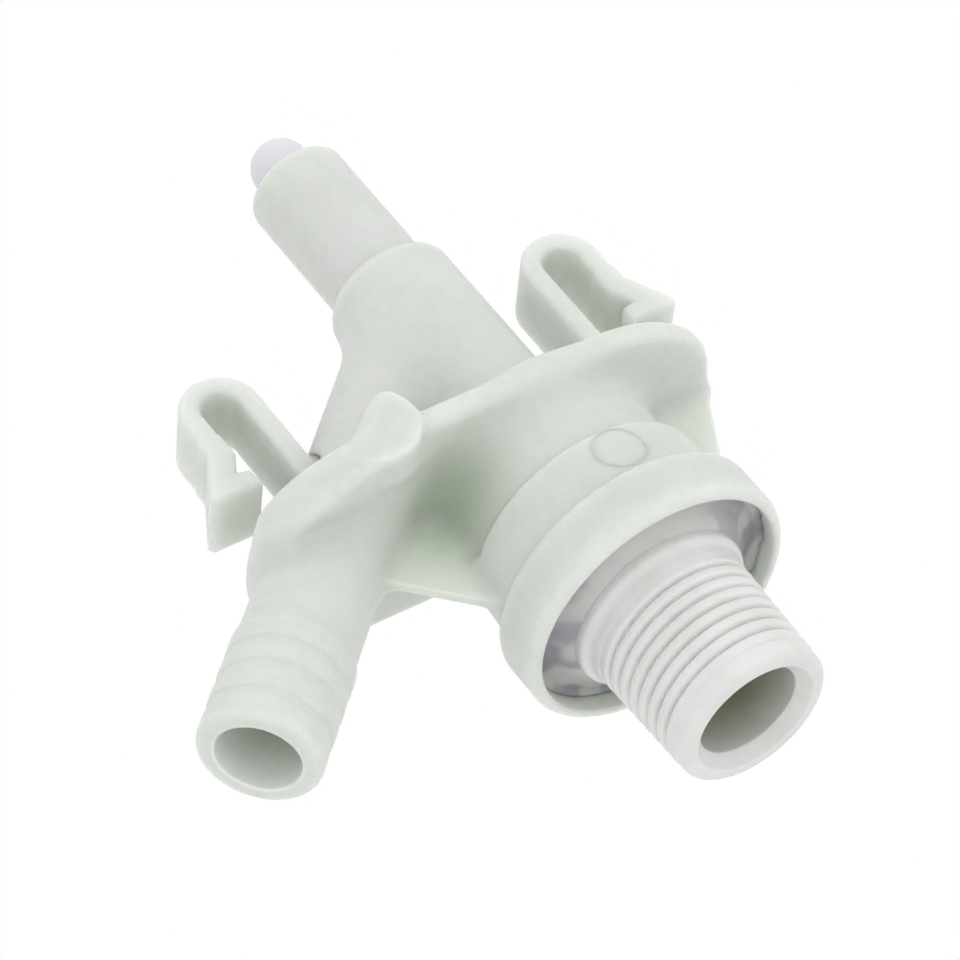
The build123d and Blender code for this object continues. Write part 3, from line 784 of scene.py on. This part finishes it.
def pin():
    """White push pin with its domed end."""
    low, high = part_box("push_pin")
    front, chamfer = high.x / MM, 0.2
    dome = [
        (PIN_DOME_X - PIN_R * math.cos(a), PIN_R * math.sin(a)) for a in np.linspace(0.0, math.pi / 2, 24)
    ]
    rest = [
        (PIN_COLLAR_BACK_X, PIN_R), (PIN_COLLAR_BACK_X, PIN_COLLAR_R - chamfer),
        (PIN_COLLAR_BACK_X + chamfer, PIN_COLLAR_R), (PIN_COLLAR_FRONT_X - chamfer, PIN_COLLAR_R),
        (PIN_COLLAR_FRONT_X, PIN_COLLAR_R - chamfer), (PIN_COLLAR_FRONT_X, PIN_STEM_R),
        (front - 0.3, PIN_STEM_R), (front, PIN_STEM_R - 0.3), (front, 0.0),
    ]
    obj = lathe("round_pin", dome + rest, 96)
    return place_piece(obj, "push_pin", pin_plastic(), ["push_pin"])


def cement_ring():
    """Uneven set cement over the fitting's flange, climbing the boss and the collar's wall."""
    foot, wall_r = RECESS_X + 0.03, RIM_R + 0.05
    stations = rounded_line([
        (foot, BOSS_R - 0.05, 0), (foot, wall_r, 0), (RECESS_X + 1.1, wall_r, 0),
        (RECESS_X + 0.6, 15.7, 0.6), (RECESS_X + 1.3, 14.0, 2.0), (RECESS_X + 3.3, BOSS_R + 0.05, 0),
        (RECESS_X + 3.4, BOSS_R - 0.05, 0),
    ])

    def lumps(x, r, angle):
        """Squeezes the cement up the wall on one side, and makes its face uneven away from the wall."""
        if r > RIM_R - 0.1 and x > RECESS_X + 0.8:
            squeezed = max(0.0, math.cos(angle - 0.5)) ** 2
            return x + squeezed * (0.5 + 0.25 * math.sin(19 * angle) + 0.2 * math.sin(43 * angle)), r
        free = min(1.0, max(0.0, (x - RECESS_X - 0.3) / 0.4)) * min(1.0, max(0.0, (RIM_R - 0.03 - r) / 0.5))
        swell = 0.07 * math.sin(5 * angle + 1.2 * r) + 0.04 * math.sin(11 * angle - r)
        return x + (swell + 0.02 * math.sin(23 * angle)) * free, r

    obj = lathe("set_cement", stations, 240, lumps)
    return place_piece(obj, "housing", cement(), ["cement_fill"])


def mould_mark(name, x, y, radius, material):
    """Faint raised ring that an ejector or gate left on the stepped front."""
    around, through, wire, sunk = 72, 8, 0.12, 0.095
    points, faces = [], []
    for i in range(around):
        t = 2 * math.pi * i / around
        px, py = x + radius * math.cos(t), y + radius * math.sin(t)
        reach = STEP_R + STEP_SLOPE * (px - BARREL_FRONT_X)
        foot = Vector((px, py, math.sqrt(reach * reach - py * py) - sunk))
        following = (i + 1) % around * through
        for j in range(through):
            u = 2 * math.pi * j / through
            side = Vector((math.cos(t), math.sin(t), 0)) * wire * math.cos(u)
            points.append((foot + side + Vector((0, 0, wire * math.sin(u)))) * MM)
            k = (j + 1) % through
            faces.append((following + j, following + k, i * through + k, i * through + j))
    mesh = bpy.data.meshes.new(name)
    mesh.from_pydata(points, [], faces)
    mesh.shade_smooth()
    return place_piece(add_object(name, mesh), "housing", material)


def body_shell(material):
    """Whole moulding apart from its clips."""
    spacing, keep = ((0.3, 0.3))
    low, high = (-53.6, -61.0, -19.0), (30.0, 26.4, 19.0)
    obj = mesh_from_field("body_shell", body_field, low, high, spacing, keep)
    return place_piece(obj, "housing", material, ["valve_body"])


def clip(name, side, edge_y, arm, material):
    """One whole U clip, from the housing to its free arm."""
    reach = sorted((edge_y - side * 1.5, edge_y + side * (CLIP_SPAN + 5.0)))
    low, high = (-26.6, reach[0], -6.2), (2.2, reach[1], 6.2)
    spacing, keep = ((0.24, 0.5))
    obj = mesh_from_field(name, clip_field(side, edge_y), low, high, spacing, keep)
    place_piece(obj, None, material, [arm])
    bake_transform(obj)
    return obj


def spring(name, node, material):
    """Coil spring with its CAD shape."""
    source = frame["nodes"][node]
    mesh = source.data.copy()
    mesh.transform(source.matrix_world)
    obj = place_piece(add_object(name, mesh), None, material, [node])
    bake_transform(obj)
    return obj


def cad_finishes(steel):
    """Materials of the hidden pieces, which keep their CAD shape."""
    made = {"inner_plastic": inner_plastic(), "seal_rubber": seal_rubber(), "stainless_steel": steel}
    slots = {part["node"]: part["material_slot"] for part in frame["record"]["subparts"]}
    for node, obj in frame["nodes"].items():
        if slots[node] in made:
            for slot in obj.material_slots:
                slot.material = made[slots[node]]


camera()
floor()
lights()
green_white = body_plastic("body_plastic", depth_of_light=0.0016)
# Light passes right through the thin clips. Their copy of the plastic is painted a little darker, as painted
# shade that holds down their lit tops.
thin_green_white = body_plastic("clip_plastic", depth_of_light=0.005, painted_shade_factor=0.955)
body_shell(green_white)
clip("left_clip", -1, CLIP_LEFT_Y, "left_clip_arm", thin_green_white)
clip("right_clip", 1, CLIP_RIGHT_Y, "right_clip_arm", thin_green_white)
mark_plastic = body_plastic("mark_plastic", depth_of_light=0.0)
mould_mark("mould_mark", x=16.4, y=1.0, radius=3.2, material=mark_plastic)
fitting()
pin()
cement_ring()
steel = stainless_steel()
spring("return_coil", "return_spring", steel)
spring("closing_coil", "closing_spring", steel)
cad_finishes(steel)
